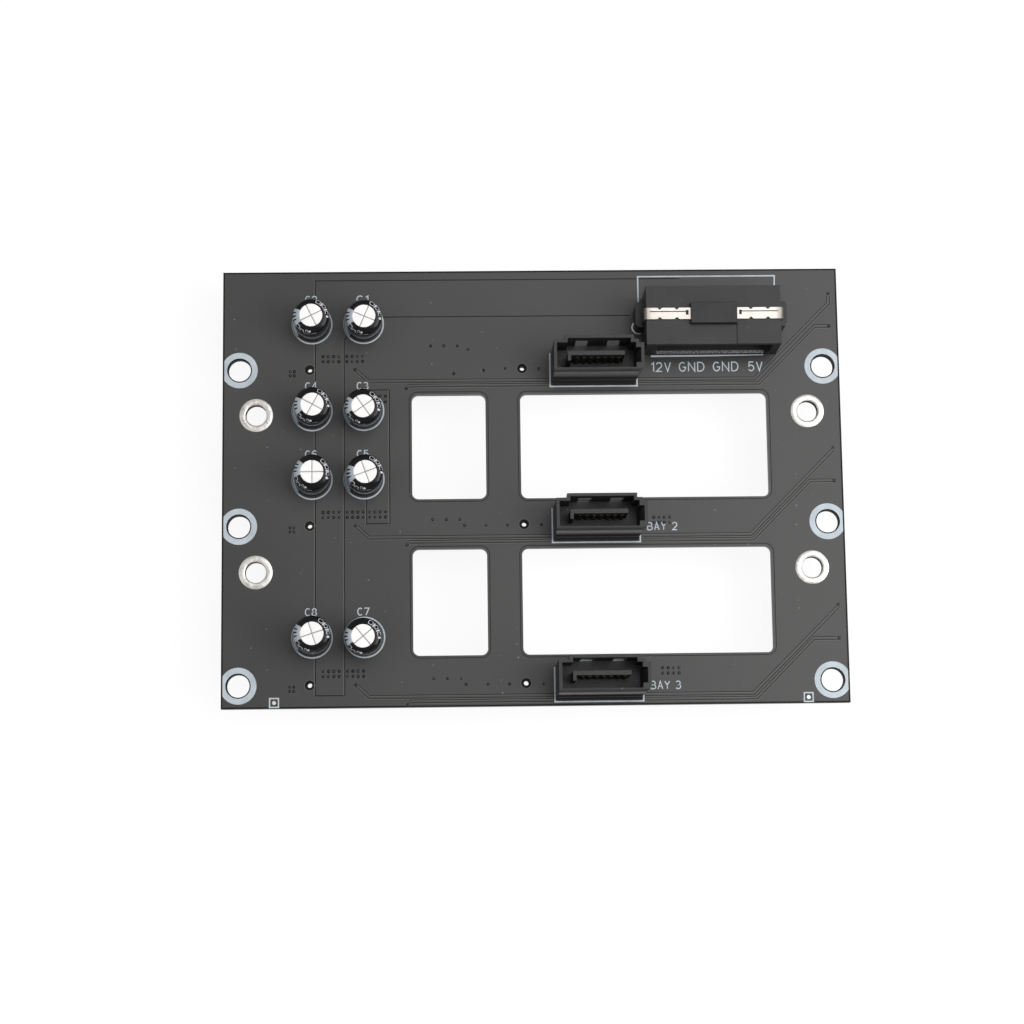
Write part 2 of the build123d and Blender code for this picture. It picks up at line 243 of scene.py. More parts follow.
# painted shadow before the power header, on the board's top face only
shade(tree, shader, product(tree, ahead, beside, before, onTop), aheadShadowLook)
middleY = (board["bottom"] + board["back"]) / 2
halfX, halfY = board["right"], (board["back"] - board["bottom"]) / 2
nearSide = calc(tree, "GREATER_THAN", calc(tree, "ABSOLUTE", where[0]), (halfX - maskLook["border"]) * mm)
fromMiddle = distance(tree, where[1], middleY * mm)
nearEnd = calc(tree, "GREATER_THAN", fromMiddle, (halfY - maskLook["border"]) * mm)
bare = calc(tree, "MAXIMUM", sideways, calc(tree, "MAXIMUM", nearSide, nearEnd))
plies = addNode(
    tree, "ShaderNodeTexWave", {"bands_direction": "Z"}, Vector=place, Scale=maskLook["plies"],
    Distortion=2.0)
laminate = blend(tree, spread(tree, plies.outputs[1], 0.2, 0.8), *[rgb(c) for c in maskLook["laminate"]])
overlay(tree, shader, bare, laminate)

# dark lines of the copper gaps: partly their own darker tone, partly painted shade along the copper's edges
gapMaterial = finish("copperGap", (0.005, 0.005, 0.005), (0.012, 0.0118, 0.011), 0.6,
                     Specular_IOR_Level=0.2)[0]
# pale strips: the tracks' own paler tone, the locating holes' rims, and painted highlights beside the pours'
# gaps
rimAndHighlightMaterial = finish("paleRimAndHighlight", (0.068, 0.0665, 0.064), (0.098, 0.0955, 0.092), 0.4)[0]
# painted shade for the walls of the holes
holeShadeMaterial = finish("holeShadeLining", (0.006, 0.0055, 0.005), (0.012, 0.011, 0.010), 0.7, bump=0.3,
                        Specular_IOR_Level=0.15)[0]
inkMaterial = finish("legendInk", (0.42, 0.48, 0.52), (0.54, 0.60, 0.65), 0.6, patch=420.0, bump=0.15)[0]
tinMaterial = finish("padTin", (0.64, 0.62, 0.59), (0.86, 0.83, 0.79), 0.38, glossShift=0.14, grain=900.0,
                     patch=700.0, bump=0.5, metallic=0.62)[0]
solderMaterial = finish("solder", (0.46, 0.46, 0.45), (0.68, 0.68, 0.66), 0.27, grain=1500.0, patch=900.0,
                        bump=0.3, metallic=1.0)[0]

# finish shared by the connector mouldings
moulding = dict(roughness=0.46, grain=5200.0, patch=240.0, bump=0.2, dust=0.6)

# painted shade: the front walls of the data headers darken towards the foot
footShadeLook = dict(front=-2.48, fade=7.6, top=3.3, color=(0.003, 0.003, 0.003), share=0.9, roughness=0.9)
headerMaterial, tree, shader, place = finish(
    "headerMoulding", (0.013, 0.013, 0.014), (0.021, 0.021, 0.022), **moulding)
where = axes(tree, place)
halfPitch = (rowHeights[0] - rowHeights[1]) / 2
inRow = addNode(tree, "ShaderNodeMath", {"operation": "WRAP"}, n0=where[1], n1=halfPitch * mm,
                n2=-halfPitch * mm).outputs[0]
outside = calc(tree, "LESS_THAN", inRow, footShadeLook["front"] * mm)
downward = spread(tree, where[2], footShadeLook["fade"] * mm, footShadeLook["top"] * mm)
# painted shade on the data headers' fronts, deepening downwards
shade(tree, shader, calc(tree, "MULTIPLY", outside, downward), footShadeLook)

# the power header is the same moulding, a little darker all over, with painted shade most on its front
# and up its roof onto the strap's bridge, and a paler strip just inside its mouth that is painted light
frontShadeLook = dict(plane=31.43, color=(0.002, 0.002, 0.002), share=0.95, roughness=0.9)
toneAndRoofShadeLook = dict(low=8.9, high=9.9, least=0.2, most=0.9, color=(0.003, 0.003, 0.003))
mouthLightLook = dict(
    middle=32.93, half=9.9, inward=31.95, floor=1.2, band=0.12, litMottle=4200.0,
    mottleRange=(0.35, 0.65), color=(0.30, 0.30, 0.305))
powerMaterial, tree, shader, place = finish(
    "powerMoulding", (0.012, 0.012, 0.013), (0.019, 0.019, 0.020), **moulding)
where = axes(tree, place)
# a little darker all over, and painted shade that deepens up the roof onto the strap's bridge
toneAndRoofShade = spread(
    tree, where[2], toneAndRoofShadeLook["low"] * mm, toneAndRoofShadeLook["high"] * mm, toneAndRoofShadeLook["least"],
    toneAndRoofShadeLook["most"])
overlay(tree, shader, toneAndRoofShade, rgb(toneAndRoofShadeLook["color"]))
# painted shade on the front faces of the power header
shade(tree, shader, calc(tree, "LESS_THAN", where[1], frontShadeLook["plane"] * mm), frontShadeLook)
# painted light: a paler, mottled strip on the floor just inside the mouth, where light falls in
fromMiddle = distance(tree, where[0], mouthLightLook["middle"] * mm)
alongMouth = calc(tree, "LESS_THAN", fromMiddle, mouthLightLook["half"] * mm)
nearMouth = calc(tree, "LESS_THAN", where[1], mouthLightLook["inward"] * mm)
fromFloor = distance(tree, where[2], mouthLightLook["floor"] * mm)
onFloor = calc(tree, "LESS_THAN", fromFloor, mouthLightLook["band"] * mm)
litMottle = spread(tree, noise(tree, place, mouthLightLook["litMottle"], detail=2.0), *mouthLightLook["mottleRange"])
overlay(tree, shader, product(tree, alongMouth, nearMouth, onFloor, litMottle), rgb(mouthLightLook["color"]))

# painted shadow: a dark line on the roof round the strap's bridge, at its foot
bridgeFootShadowLook = dict(middleY=37.05, halfX=4.2, halfY=1.9, width=0.2, roof=9.05, color=(0.002, 0.002, 0.002))
pastX = calc(tree, "SUBTRACT", fromMiddle, bridgeFootShadowLook["halfX"] * mm)
fromBridge = distance(tree, where[1], bridgeFootShadowLook["middleY"] * mm)
pastY = calc(tree, "SUBTRACT", fromBridge, bridgeFootShadowLook["halfY"] * mm)
beside = calc(tree, "LESS_THAN", calc(tree, "MAXIMUM", pastX, pastY), bridgeFootShadowLook["width"] * mm)
below = calc(tree, "LESS_THAN", where[2], bridgeFootShadowLook["roof"] * mm)
overlay(tree, shader, calc(tree, "MULTIPLY", beside, below), rgb(bridgeFootShadowLook["color"]))
socketMaterial = finish("socketMoulding", (0.012, 0.012, 0.013), (0.019, 0.019, 0.020), 0.5, grain=5200.0,
                        patch=200.0, bump=0.14)[0]
goldMaterial = finish("contactGold", (0.065, 0.054, 0.032), (0.12, 0.099, 0.058), 0.45, grain=2500.0,
                      patch=900.0, metallic=1.0)[0]
pinMaterial = finish("pinTin", (0.50, 0.48, 0.43), (0.68, 0.66, 0.61), 0.3, grain=1800.0, patch=600.0,
                     metallic=1.0)[0]
leadMaterial = finish("leadTin", (0.52, 0.52, 0.50), (0.68, 0.68, 0.66), 0.32, metallic=1.0)[0]

# painted shade: the strap's steel darkens where it bends down at both ends, turning away from the light
strapShadeLook = dict(middle=32.93, bendStart=11.2, bendEnd=12.4, share=0.8, color=(0.13, 0.115, 0.10))
strapMaterial, tree, shader, place = finish(
    "strapSteel", (0.40, 0.37, 0.335), (0.66, 0.62, 0.575), 0.33, glossShift=0.09, grain=1200.0, patch=520.0,
    bump=0.12, metallic=0.85)
where = axes(tree, place)
fromMiddle = distance(tree, where[0], strapShadeLook["middle"] * mm)
bendShade = spread(
    tree, fromMiddle, strapShadeLook["bendStart"] * mm, strapShadeLook["bendEnd"] * mm, 0.0, strapShadeLook["share"])
overlay(tree, shader, bendShade, rgb(strapShadeLook["color"]))
# paler tin of the eyelets and the lug, partly their own bright solder and partly painted light where the
# header shades them
eyeletLitTinMaterial = finish("eyeletLitTin", (0.84, 0.83, 0.81), (0.96, 0.95, 0.93), 0.3, metallic=0.15)[0]
viaRimMaterial = finish("viaRim", (0.064, 0.063, 0.061), (0.092, 0.090, 0.087), 0.4)[0]
# painted shade for the dark wells of vias and eyelets
wellShadeMaterial = finish("wellShade", (0.003, 0.003, 0.003), (0.006, 0.006, 0.006), 0.6,
                         Specular_IOR_Level=0.2)[0]
# painted highlight in the via's dip
dipHighlightMaterial = finish("viaDipHighlight", (0.022, 0.0215, 0.021), (0.042, 0.041, 0.040), 0.45)[0]

# bare can top: pale brushed aluminium, with painted shade down in the stamped cross
crossLook = dict(color=(0.07, 0.065, 0.06), half=0.1, deep=0.12, puff=0.035, puffWidth=0.5)
canMaterial, tree, shader, place = finish(
    "canTop", (0.90, 0.885, 0.875), (1.0, 0.985, 0.975), 0.46, grain=1600.0, patch=500.0, bump=0.12,
    metallic=0.05)
# painted shade down in the cross, set per point by the can top's mesh
crossShade = addNode(tree, "ShaderNodeAttribute", {"attribute_name": "crossShade"}).outputs["Fac"]
overlay(tree, shader, crossShade, rgb(crossLook["color"]))

# shrunk sleeve: glossy black, with the minus band on the left and printed marks round the shoulder;
# marks are (middle, half width) in turns, (middle, half length) in millimetres below the lip, and hollow
sleeveLook = dict(
    band=(0.36, 0.40, 0.44), dash=(0.005, 0.005, 0.006), mark=(0.56, 0.57, 0.60), bandHalf=0.08,
    roughness=0.16, dashes=((0.462, 0.0075), (0.497, 0.0085), (0.532, 0.0075)), dashAlong=1.4,
    dashHalf=0.9, marks=((0.158, 0.027, 0.62, 0.40, 0.35), (0.115, 0.008, 0.62, 0.42, 0.0),
    (0.083, 0.019, 0.70, 0.38, 0.3), (0.046, 0.008, 0.72, 0.40, 0.0), (0.014, 0.018, 0.80, 0.36, 0.3),
    (0.975, 0.010, 0.88, 0.30, 0.0), (0.600, 0.024, 1.05, 0.42, 0.35), (0.652, 0.022, 1.35, 0.40, 0.3),
    (0.698, 0.013, 0.95, 0.24, 0.3), (0.727, 0.010, 1.00, 0.22, 0.0), (0.700, 0.034, 1.95, 0.12, 0.0),
    (0.765, 0.024, 1.60, 0.10, 0.0)))
wrapUnit = 10.0  # millimetres to one unit of length on the wrap map
sleeveMaterial, tree, shader, place = finish(
    "canSleeve", (0.003, 0.003, 0.0035), (0.006, 0.006, 0.007), sleeveLook["roughness"], grain=900.0,
    patch=300.0, bump=0.05, Specular_IOR_Level=0.24)
wrap = axes(tree, addNode(tree, "ShaderNodeUVMap", {"uv_map": "wrap"}).outputs[0])
around, along = wrap[0], calc(tree, "MULTIPLY", wrap[1], wrapUnit)
inBand = calc(tree, "LESS_THAN", distance(tree, around, 0.5), sleeveLook["bandHalf"])
overlay(tree, shader, inBand, rgb(sleeveLook["band"]))
marks = [(middle, half, sleeveLook["dashAlong"], sleeveLook["dashHalf"], 0.0, sleeveLook["dash"])
         for middle, half in sleeveLook["dashes"]]
marks += [(*mark, sleeveLook["mark"]) for mark in sleeveLook["marks"]]
for middle, half, down, length, hollow, color in marks:
    mark = addNode(tree, "ShaderNodeGroup", {"node_tree": markGroup}, Around=around, Along=along,
                   Middle_Around=middle, Middle_Along=down, Half_Around=half, Half_Along=length,
                   Hollow=hollow)
    overlay(tree, shader, mark.outputs[0], rgb(color))
print("stage: materials ready")


# mesh tools; sizes in millimetres

def placePiece(name, mesh, material, smooth=False):
    mesh.materials.clear()
    mesh.materials.append(material)
    mesh.polygons.foreach_set("use_smooth", [smooth] * len(mesh.polygons))
    mesh.name = name
    piece = bpy.data.objects.new(name, mesh)
    bpy.context.scene.collection.objects.link(piece)
    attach(piece, "root")
    return piece


def finishPiece(name, bm, material, smooth=False):
    bmesh.ops.recalc_face_normals(bm, faces=bm.faces)
    mesh = bpy.data.meshes.new(name)
    bm.to_mesh(mesh)
    bm.free()
    return placePiece(name, mesh, material, smooth)


def arc(x, y, radiusX, radiusY, start, end, steps=12):
    turns = [math.radians(start + (end - start) * k / steps) for k in range(steps + 1)]
    return [(x + radiusX * math.cos(a), y + radiusY * math.sin(a)) for a in turns]


# prism over a flat outline
def slab(bm, outline, low, high):
    floor, roof = [[bm.verts.new(Vector((x, y, z)) * mm) for x, y in outline] for z in (low, high)]
    bm.faces.new(roof)
    bm.faces.new(floor[::-1])
    for k in range(len(outline)):
        j = (k + 1) % len(outline)
        bm.faces.new((floor[k], floor[j], roof[j], roof[k]))


mitreLimit = 0.35  # keeps a sharp bend from running out into a spike


# points of a line shifted sideways, mitred at its bends
def besideLine(points, shift, closed=False):
    line = [Vector(point) for point in points]
    moved = []
    for i, here in enumerate(line):
        steps = []
        if closed or i > 0:
            steps.append((here - line[i - 1]).normalized())
        if closed or i < len(line) - 1:
            steps.append((line[(i + 1) % len(line)] - here).normalized())
        sides = [Vector((-step.y, step.x)) for step in steps]
        side = sum(sides, Vector((0, 0))).normalized()
        moved.append(here + side * shift / max(mitreLimit, side.dot(sides[0])))
    return moved


# flat strip along a line
def ribbon(bm, points, width, low, high, closed=False):
    left, right = [besideLine(points, side * width / 2, closed) for side in (1, -1)]
    rings = [[bm.verts.new(Vector((*point, z)) * mm) for z in (low, high) for point in pair]
             for pair in zip(right, left)]
    for i in range(len(rings) if closed else len(rings) - 1):
        a, b = rings[i], rings[(i + 1) % len(rings)]
        for p, q in ((2, 3), (1, 0), (0, 2), (3, 1)):
            bm.faces.new((a[p], b[p], b[q], a[q]))
    if not closed:
        for ring in (rings[0], rings[-1]):
            bm.faces.new([ring[k] for k in (0, 2, 3, 1)])


# closed turned shape from (radius, height) points that run from the axis outward and back to it
def turned(bm, centre, profile, steps, start, wrapLayer, lengths):
    rings = []
    for radius, z in profile:
        count = steps if radius > 0 else 1
        turns = [start + math.tau * k / steps for k in range(count)]
        spots = [(centre[0] + radius * math.cos(a), centre[1] + radius * math.sin(a), z) for a in turns]
        rings.append([bm.verts.new(Vector(spot) * mm) for spot in spots])
    for level, (low, high) in enumerate(zip(rings, rings[1:])):
        for k in range(steps):
            j = (k + 1) % steps
            if len(low) == 1:
                corners = ((low[0], k + 0.5, level), (high[j], k + 1, level + 1), (high[k], k, level + 1))
            elif len(high) == 1:
                corners = ((low[k], k, level), (low[j], k + 1, level), (high[0], k + 0.5, level + 1))
            else:
                corners = ((low[k], k, level), (low[j], k + 1, level), (high[j], k + 1, level + 1),
                           (high[k], k, level + 1))
            face = bm.faces.new([corner[0] for corner in corners])
            for loop, (vert, turn, ring) in zip(face.loops, corners):
                loop[wrapLayer].uv = (turn / steps, lengths[ring])


# ring with a closed section of (radius, height) points; its outer edge is cut off at X = clip where given
def hoop(bm, centre, section, steps=96, clip=0.0):
    rings = []
    for radius, z in section:
        ring = []
        for k in range(steps):
            x = centre[0] + radius * math.cos(math.tau * k / steps)
            y = centre[1] + radius * math.sin(math.tau * k / steps)
            if clip:
                x = min(x, clip) if clip > 0 else max(x, clip)
            ring.append(bm.verts.new(Vector((x, y, z)) * mm))
        rings.append(ring)
    for a, b in zip(rings, rings[1:] + rings[:1]):
        for k in range(steps):
            j = (k + 1) % steps
            bm.faces.new((a[k], a[j], b[j], b[k]))


def flatHoop(bm, centre, inner, outer, low, high, steps=96, clip=0.0):
    hoop(bm, centre, [(inner, low), (outer, low), (outer, high), (inner, high)], steps, clip)


# places in pairs to the left and the right of a middle, one pair in each row
def paired(spacing, rows, middle=0.0, drop=0.0):
    return [(middle + side * spacing / 2, row - drop) for row in rows for side in (-1, 1)]


# pen strokes of the printed characters in a unit square, and the widths of the narrow ones
glyphs = {
    "1": [[(0.0, 0.78), (0.34, 1.0), (0.34, 0.0)]],
    "2": [arc(0.5, 0.70, 0.46, 0.30, 165, -35) + [(0.04, 0.0), (1.0, 0.0)]],
    "3": [arc(0.45, 0.75, 0.42, 0.25, 150, -75) + arc(0.45, 0.27, 0.52, 0.27, 75, -150)],
    "4": [[(0.74, 0.0), (0.74, 1.0), (0.0, 0.3), (1.0, 0.3)]],
    "5": [[(0.9, 1.0), (0.14, 1.0), (0.08, 0.52)] + arc(0.46, 0.32, 0.5, 0.32, 125, -150)],
    "6": [arc(0.56, 0.5, 0.52, 0.5, 50, 180) + arc(0.5, 0.3, 0.46, 0.3, 180, 520)],
    "7": [[(0.0, 1.0), (1.0, 1.0), (0.35, 0.0)]],
    "8": [arc(0.5, 0.76, 0.4, 0.24, 270, 630), arc(0.5, 0.26, 0.5, 0.26, 90, 450)],
    "A": [[(0.0, 0.0), (0.5, 1.0), (1.0, 0.0)], [(0.2, 0.34), (0.8, 0.34)]],
    "B": [[(0.0, 0.0), (0.0, 1.0), (0.5, 1.0)] + arc(0.5, 0.76, 0.4, 0.24, 80, -90) + [(0.06, 0.52)],
          [(0.5, 0.52)] + arc(0.5, 0.26, 0.5, 0.26, 80, -90) + [(0.06, 0.0)]],
    "C": [arc(0.55, 0.5, 0.55, 0.5, 48, 312)],
    "D": [[(0.06, 0.0), (0.0, 0.0), (0.0, 1.0), (0.42, 1.0)] + arc(0.42, 0.5, 0.58, 0.5, 80, -90)
          + [(0.1, 0.0)]],
    "G": [arc(0.52, 0.5, 0.52, 0.5, 50, 335) + [(1.0, 0.46), (0.58, 0.46)]],
    "N": [[(0.0, 0.0), (0.0, 1.0), (1.0, 0.0), (1.0, 1.0)]],
    "V": [[(0.0, 1.0), (0.5, 0.0), (1.0, 1.0)]],
    "Y": [[(0.0, 1.0), (0.5, 0.48), (1.0, 1.0)], [(0.5, 0.48), (0.5, 0.0)]],
}
glyphWidths = {"1": 0.42, " ": 0.5}
letterGap = 0.3
letterFill = 0.88  # share of its cell that a wide letter takes up


# printed words fitted into a box; on the drive side they read from below
def legend(bm, words, left, right, bottom, top, thick, stroke=0.2, below=False):
    widths = [glyphWidths.get(letter, 1.0) for letter in words]
    unit = (right - left - stroke) / (sum(widths) + letterGap * (len(words) - 1))
    low, high = (under - thick, under) if below else (0.0, thick)
    pen = 0.0
    for letter, width in zip(words, widths):
        fill = letterFill if width == 1.0 else 1.0
        for line in glyphs.get(letter, []):
            points = []
            for x, y in line:
                reach = (pen + x * fill) * unit + stroke / 2
                spot = right - reach if below else left + reach
                points.append((spot, bottom + stroke / 2 + y * (top - bottom - stroke)))
            ribbon(bm, points, stroke, low, high)
        pen += width + letterGap


# one tree for all that repeats: a low turned stud at every point of a mesh
studs, groupIn, groupOut = newGroup(
    "turnedStuds",
    [("Geometry", "Geometry", None), ("Finish", "Material", None)]
    + [(label, "Int", None) for label in ("Sides", "Seed")]
    + [(label, "Float", None) for label in ("Foot Radius", "Head Radius", "Height", "Size Change")],
    [("Geometry", "Geometry")], "GeometryNodeTree",
)
stud = addNode(
    studs, "GeometryNodeMeshCone", {"fill_type": "NGON"}, Vertices=groupIn["Sides"],
    Radius_Bottom=groupIn["Foot Radius"], Radius_Top=groupIn["Head Radius"], Depth=groupIn["Height"])
points = addNode(studs, "GeometryNodeMeshToPoints", Mesh=groupIn["Geometry"])
least = calc(studs, "SUBTRACT", 1.0, groupIn["Size Change"])
most = calc(studs, "ADD", 1.0, groupIn["Size Change"])
change, turn = [
    addNode(studs, "FunctionNodeRandomValue", {"data_type": "FLOAT"}, n2=low, n3=high,
            Seed=groupIn["Seed"]).outputs[1]
    for low, high in ((least, most), (0.0, math.tau))
]
spin = addNode(studs, "ShaderNodeCombineXYZ", Z=turn)
copies = addNode(
    studs, "GeometryNodeInstanceOnPoints", Points=points.outputs[0], Instance=stud.outputs[0],
    Rotation=spin.outputs[0], Scale=change)
real = addNode(studs, "GeometryNodeRealizeInstances", Geometry=copies.outputs[0])
painted = addNode(studs, "GeometryNodeSetMaterial", Geometry=real.outputs[0], Material=groupIn["Finish"])
studs.links.new(painted.outputs[0], groupOut["Geometry"])


# mesh of an object with its modifiers applied
def evaluatedMesh(holder):
    bpy.context.view_layer.update()
    return bpy.data.meshes.new_from_object(holder.evaluated_get(bpy.context.evaluated_depsgraph_get()))


# studs that stand on height low at every (x, y) place, made plain mesh
def scatterStuds(name, places, foot, head, height, low, material, slot, sides=12, change=0.0, seed=3,
                 smooth=False):
    source = bpy.data.meshes.new(name + "Places")
    source.from_pydata([Vector((x, y, low)) * mm for x, y in places], [], [])
    maker = bpy.data.objects.new(name + "Maker", source)
    bpy.context.scene.collection.objects.link(maker)
    modifier = maker.modifiers.new("studs", "NODES")
    modifier.node_group = studs
    values = {"Foot Radius": foot * mm, "Head Radius": head * mm, "Height": height * mm, "Sides": sides,
              "Size Change": change, "Seed": seed, "Finish": material}
    for item in studs.interface.items_tree:
        if item.in_out == "INPUT" and item.name in values:
            modifier[item.identifier] = values[item.name]
    mesh = evaluatedMesh(maker)
    bpy.data.objects.remove(maker)
    return placePiece(name, mesh, material, smooth)


softEdge = dict(small=0.05, power=0.06)


# copy of a CAD node with its moulding edges rounded off, which stands for the node
def softenedCopy(nodeName, pieceName, material, edge):
    bm = bmesh.new()
    bm.from_mesh(nodes[nodeName].data)
    bmesh.ops.remove_doubles(bm, verts=bm.verts, dist=1e-6)
    bmesh.ops.dissolve_limit(bm, angle_limit=math.radians(1), verts=bm.verts, edges=bm.edges)
    piece = finishPiece(pieceName, bm, material)
    modifier = piece.modifiers.new("rounding", "BEVEL")
    modifier.width = edge * mm
    modifier.segments = 2
    modifier.limit_method = "ANGLE"
    modifier.angle_limit = math.radians(35)
    mesh = evaluatedMesh(piece)
    piece.modifiers.clear()
    piece.data = mesh
    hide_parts(nodeName)


def dress(nodeName, material):
    mesh = nodes[nodeName].data
    mesh.materials.clear()
    mesh.materials.append(material)


print("stage: mesh tools ready")

# CAD nodes that are shown as they are
dress("circuit_board", maskMaterial)
for number in range(1, 9):
    dress(f"capacitor_{number}_leads", leadMaterial)
for number in (1, 2, 3):
    dress(f"data_header_{number}_contacts", goldMaterial)
    dress(f"drive_socket_{number}_contacts", goldMaterial)
dress("power_header_pins", pinMaterial)
dress("power_header_strap", strapMaterial)

# mouldings with eased edges
for number in (1, 2, 3):
    softenedCopy(f"data_header_{number}_shroud", f"data_header_{number}_moulding", headerMaterial,
                 softEdge["small"])
    softenedCopy(f"drive_socket_{number}_housing", f"drive_socket_{number}_moulding", socketMaterial,
                 softEdge["small"])
softenedCopy("power_header_housing", "power_header_moulding", powerMaterial, softEdge["power"])
print("stage: CAD nodes and mouldings dressed")

# screw rings, cut off at the board's sides
screws = dict(spacing=107.8, wall=2.1, inner=2.28, outer=3.33, thick=0.02, clip=56.7)
screwPlaces = paired(screws["spacing"], rowHeights)
bm = bmesh.new()
for place in screwPlaces:
    flatHoop(bm, place, screws["inner"], screws["outer"], 0.0, screws["thick"],
             clip=math.copysign(screws["clip"], place[0]))
finishPiece("screw_hole_rings", bm, inkMaterial)

# grounding pads on both sides of the board, with the barrel between them
grounds = dict(
    spacing=101.6, drop=8.45, hole=2.0, barrel=1.93, pad=3.1, crest=0.1, film=0.02, edge=0.05,
    shoulder=0.5, roll=0.3)
groundPlaces = paired(grounds["spacing"], rowHeights[:2], drop=grounds["drop"])
inner, outer, crest = grounds["barrel"], grounds["pad"], grounds["crest"]
bm = bmesh.new()
for place in groundPlaces:
    hoop(bm, place, [
        (inner, under - crest / 2), (outer, under - grounds["film"]), (outer, under),
        (grounds["hole"], under), (grounds["hole"], 0.0), (outer, 0.0),
        (outer - grounds["edge"], crest * 0.4), (outer - grounds["shoulder"], crest * 0.8),
        (inner + grounds["roll"], crest), (inner, crest * 0.3),
    ])
finishPiece("ground_pads", bm, tinMaterial, smooth=True)

# painted shade: dark walls of the screw holes, of the locating holes and inside the ground pads, with a pale
# rim round the small ones
locating = dict(x=-21.4, spacing=39.15, hole=0.74, bore=0.44, collar=0.9, rim=1.02, rimHigh=0.02, steps=32)
linings = dict(wall=0.03, film=0.012, steps=48, padGap=0.005, padInset=0.1, padSteps=64)
locatingPlaces = paired(locating["spacing"], rowHeights, locating["x"])
bm = bmesh.new()
for place in screwPlaces:
    flatHoop(bm, place, screws["wall"] - linings["wall"], screws["wall"], under, 0.0, linings["steps"])
    flatHoop(bm, place, screws["wall"], screws["inner"], 0.0, linings["film"], linings["steps"])
for place in locatingPlaces:
    flatHoop(bm, place, locating["bore"], locating["hole"], under, 0.0, locating["steps"])
    flatHoop(bm, place, locating["hole"], locating["collar"], 0.0, linings["film"], locating["steps"])
for place in groundPlaces:
    flatHoop(bm, place, grounds["barrel"] - linings["wall"], grounds["barrel"] - linings["padGap"],
             under + linings["padInset"], -linings["padInset"], linings["padSteps"])
finishPiece("hole_shade_linings", bm, holeShadeMaterial)
bm = bmesh.new()
for place in locatingPlaces:
    flatHoop(bm, place, locating["collar"], locating["rim"], 0.0, locating["rimHigh"], locating["steps"])
finishPiece("locating_rims", bm, rimAndHighlightMaterial)
fiducials = dict(places=((-47.4, -32.2), (49.4, -32.2)), half=0.8, line=0.24)
scatterStuds(
    "fiducial_dots", fiducials["places"], foot=0.36, head=0.33, height=0.02, low=0.0, material=tinMaterial,
    slot="tinned", sides=24)
print("stage: rings and pads ready")

# capacitors; each can leans and is turned a little its own way; spots are a row's number and the rise from it
cans = dict(
    height=7.5, lip=2.1, disc=7.4, steps=96, leftX=-40.55, pitch=9.5, base=7.2, spots=((0, 8.6),
    (0, -7.75), (1, 8.6), (2, 8.6)), turns=(-23, 26, 35, -29, 20, 0, 40, 18),
    bandTurns=(0, 4, -5, 3, 6, -14, 2, -3), leans=((0.36, -0.23), (0.22, 0.02), (0.13, -0.55),
    (0.45, -0.14), (0.5, 0.16), (0.4, 0.23), (0.0, -0.45), (0.4, 0.09)))
canPlaces = [(x, rowHeights[row] + rise) for row, rise in cans["spots"]
             for x in (cans["leftX"] + cans["pitch"], cans["leftX"])]
sleeveProfile = [
    (0.0, 0.0), (2.85, 0.0), (3.16, 0.08), (3.26, 0.25), (3.28, 0.7), (3.25, 0.95), (3.16, 1.15),
    (3.16, 1.35), (3.25, 1.55), (3.3, 1.8), (3.3, 6.45), (3.27, 6.75), (3.17, 7.0), (3.0, 7.2),
    (2.75, 7.36), (2.5, 7.45), (2.3, 7.5), (2.18, 7.5), (2.11, 7.44), (2.1, 7.2), (0.0, 7.2),
]


# profile length from the lip of the sleeve, for the wrap map
def lengthsFromLip(profile, lip):
    lengths = [0.0] * len(profile)
    for k in range(lip - 1, -1, -1):
        lengths[k] = lengths[k + 1] + math.dist(profile[k], profile[k + 1]) / wrapUnit
    return lengths


def leanOver(bm, lean):
    for vert in bm.verts:
        share = vert.co.z / (cans["height"] * mm)
        vert.co.x += lean[0] * share * mm
        vert.co.y += lean[1] * share * mm


# keep and snap are in steps of the grid, and gap is in millimetres over the sleeve's floor
discGrid = dict(cells=64, keep=0.7, snap=0.45, gap=0.02)


# disc with the vent cross stamped into it, on a fine grid trimmed to the circle and closed underneath
def canTop(bm, centre, turn, level):
    cells, radius = discGrid["cells"], cans["lip"]
    step = 2 * radius / cells
    layer = bm.verts.layers.float.new("crossShade")
    grid = {}
    for i in range(cells + 1):
        for j in range(cells + 1):
            x, y = -radius + i * step, -radius + j * step
            far = math.hypot(x, y)
            if far > radius + step * discGrid["keep"]:
                continue
            if far > radius - step * discGrid["snap"]:
                x, y = x * radius / far, y * radius / far
            lineX = x * math.cos(turn) + y * math.sin(turn)
            lineY = -x * math.sin(turn) + y * math.cos(turn)
            fromLine = min(abs(lineX), abs(lineY))
            groove = math.exp(-(fromLine / crossLook["half"]) ** 2)
            pillow = crossLook["puff"] * (1 - math.exp(-fromLine / crossLook["puffWidth"]))
            z = level + pillow - crossLook["deep"] * groove
            vert = bm.verts.new(Vector((centre[0] + x, centre[1] + y, z)) * mm)
            # painted shade in the groove, for the can top's material
            vert[layer] = groove ** 2
            grid[i, j] = vert
    for i, j in grid:
        quad = [grid[key] for key in ((i, j), (i + 1, j), (i + 1, j + 1), (i, j + 1)) if key in grid]
        if len(quad) >= 3:
            bm.faces.new(quad)
    border = [edge for edge in bm.edges if edge.is_boundary]
    wall = bmesh.ops.extrude_edge_only(bm, edges=border)["geom"]
    for vert in wall:
        if isinstance(vert, bmesh.types.BMVert):
            vert.co.z = (cans["base"] + discGrid["gap"]) * mm
    bmesh.ops.holes_fill(bm, edges=[edge for edge in bm.edges if edge.is_boundary])


